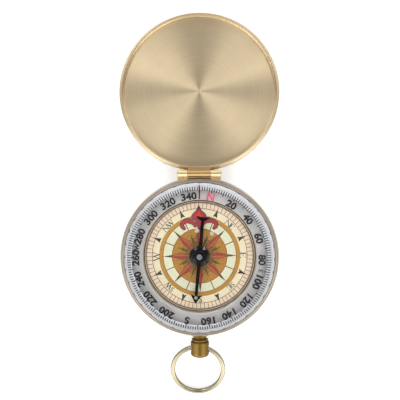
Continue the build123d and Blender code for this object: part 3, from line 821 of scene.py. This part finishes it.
def dress_frame():
    """Finishes of the CAD nodes that stay in sight. The lid's tool marks run about its own axis."""
    lid_turn = Matrix.Rotation(-LID_OPENING, 3, "X")
    lid_axis = lid_turn @ Vector((0, 0, 1))
    lid_centre = lid_turn @ (Vector((0, 0, HINGE.z)) - HINGE) + HINGE
    up = Vector((0, 0, 1))
    finishes = {
        ("case_shell",): turned_brass("case_brass", (0.64, 0.57, 0.49), 0.3, 0.5, (0, 0, 0), up, 7000.0),
        ("lid_shell",): turned_brass("lid_brass", (0.66, 0.54, 0.36), 0.42, 0.92, lid_centre, lid_axis),
        ("lid_hinge_leaf",): brass("hinge_leaf_brass", (0.64, 0.43, 0.2), 0.32),
        ("hinge_bracket",): brass("hinge_brass", (0.98, 0.77, 0.45), 0.3),
        ("hinge_pin",): brass("hinge_pin_brass", (0.6, 0.42, 0.2), 0.22),
        ("pendant_stub", "pendant_knob"): brass("pendant_brass", (0.2, 0.125, 0.032), 0.42),
        ("bow_ring",): brass("ring_brass", (0.38, 0.34, 0.24), 0.24),
        ("dial_insert",): moulded("insert_plastic", (0.5, 0.46, 0.42), 0.45),
        ("rose_dial",): card("rose_card", (0.92, 0.82, 0.57)),
        ("chapter_ring",): satin_metal("chapter_metal", (0.66, 0.645, 0.635), 0.42, 0.35),
        ("index_mark",): ink("index_red", (0.3, 0.012, 0.02), 0.35),
        ("pivot_bush",): satin_metal("bush_metal", (0.85, 0.85, 0.84), 0.18),
        ("pivot_pin", "bezel_spring"): satin_metal("pivot_steel", (0.55, 0.55, 0.57), 0.2),
        ("bezel_gasket",): moulded("gasket_rubber", (0.72, 0.73, 0.75), 0.6),
        ("bezel_lens",): clear_acrylic("clear_acrylic"),
        ("needle_dot",): ink("needle_lume", (0.32, 0.34, 0.3), 0.6),
        ("needle_blade",): black_enamel("needle_black", (0.003, 0.003, 0.004), 0.4, 0.12, 0.0),
        ("needle_hub", "needle_cap"): black_enamel("hub_black", (0.002, 0.002, 0.003), 0.14, 0.3, 0.0),
        ("needle_jewel",): black_enamel("jewel_stone", (0.16, 0.17, 0.18), 0.15, 0.5, 0.5),
    }
    for nodes, material in finishes.items():
        for node in nodes:
            dress(node, material)


# ================================================================ surroundings
def camera():
    data = bpy.data.cameras.new("camera")
    data.lens = CAMERA_LENS
    data.sensor_width = SENSOR_WIDTH
    data.clip_start, data.clip_end = CLIP_RANGE
    obj = bpy.data.objects.new("camera", data)
    obj.location = Vector(CAMERA_PLACE) * MM
    obj.rotation_euler = Euler(CAMERA_TURN, "XYZ")
    bpy.context.scene.collection.objects.link(obj)
    bpy.context.scene.camera = obj


def floor():
    """White paper that the compass lies on, bright enough to be plain white in the picture."""
    mesh = bpy.data.meshes.new("floor")
    bm = bmesh.new()
    bmesh.ops.create_grid(bm, x_segments=8, y_segments=8, size=FLOOR_HALF_WIDTH)
    bm.to_mesh(mesh)
    bm.free()
    obj = bpy.data.objects.new("floor", mesh)
    obj.location.z = -FLOOR_DROP
    s = Shader("floor_paper")
    s.set(Roughness=0.9, Emission_Color=(1.0, 1.0, 1.0, 1.0))
    haze = s.noise(30.0, 2.0)
    s.paint(haze, (0.3, (0.7, 0.7, 0.7)), (0.7, (0.72, 0.72, 0.72)))
    seen = s.node("ShaderNodeLightPath").outputs["Is Camera Ray"]
    s.link(s.maths("MULTIPLY", seen, FLOOR_GLOW), s.bsdf.inputs["Emission Strength"])
    mesh.materials.append(s.material)
    bpy.context.scene.collection.objects.link(obj)


def softbox(place):
    """Rectangular lamp aimed at the case's centre."""
    data = bpy.data.lights.new("softbox", "AREA")
    data.shape = "RECTANGLE"
    data.size, data.size_y = SOFTBOX_SIZE
    data.energy = SOFTBOX_POWER
    obj = bpy.data.objects.new("softbox", data)
    obj.location = place
    obj.rotation_mode = "QUATERNION"
    obj.rotation_quaternion = (-Vector(place)).to_track_quat("-Z", "Y")
    bpy.context.scene.collection.objects.link(obj)


def room():
    """World whose corners and end walls glow more than its side walls, about a leaning axis."""
    world = bpy.data.worlds.new("studio")
    bpy.context.scene.world = world
    n = NodeTree(world)
    direction = n.node("ShaderNodeTexCoord").outputs["Generated"]
    leaning = n.node("ShaderNodeVectorRotate", rotation_type="X_AXIS")
    leaning.inputs["Angle"].default_value = math.radians(ROOM_LEAN)
    n.link(direction, leaning.inputs["Vector"])
    split = n.node("ShaderNodeSeparateXYZ")
    n.link(leaning.outputs[0], split.inputs[0])
    x, y, z = split.outputs

    azimuth = n.maths("ARCTAN2", y, x)
    corners = n.maths("SUBTRACT", 1.0, n.maths("COSINE", n.maths("MULTIPLY", azimuth, 4.0)))
    height = n.maths("MAXIMUM", z, 0.0)
    slope = n.maths("SQRT", n.maths("SUBTRACT", 1.0, n.maths("MULTIPLY", height, height)))
    corner_glow = n.maths("ADD", CORNER_GLOW, n.maths("MULTIPLY", y, -NEAR_CORNER_GAIN))
    corners = n.maths("MULTIPLY", n.maths("MULTIPLY", corners, 0.5), slope)
    walls = n.maths("ADD", WALL_GLOW, n.maths("MULTIPLY", n.maths("MULTIPLY", y, y), END_WALL_GAIN))
    glow = n.maths("ADD", walls, n.maths("MULTIPLY", corners, corner_glow))

    towards_gap = n.vector("DOT_PRODUCT", direction, Vector(GAP_DIRECTION).normalized())
    gap_start, gap_end = (math.cos(math.radians(angle)) for angle in (GAP_OUTER, GAP_INNER))
    gap = n.spread(towards_gap, 1.0, GAP_GLOW, gap_start, gap_end, smooth=True)
    background = n.tree.nodes["Background"]
    n.link(n.maths("MULTIPLY", glow, gap), background.inputs["Strength"])
    background.inputs["Color"].default_value = ROOM_COLOUR


def studio():
    """Lit room, with two softboxes on the hinge's side whose reflections show on the needle's hub."""
    room()
    x, y, z = SOFTBOX_PLACE
    for side in (-1, 1):
        softbox((side * x, y, z))
    bpy.context.scene.view_settings.view_transform = "Standard"


dress_frame()
scale_border()
underlay()
scale_print()
lume_discs()
card_print()
camera()
floor()
studio()
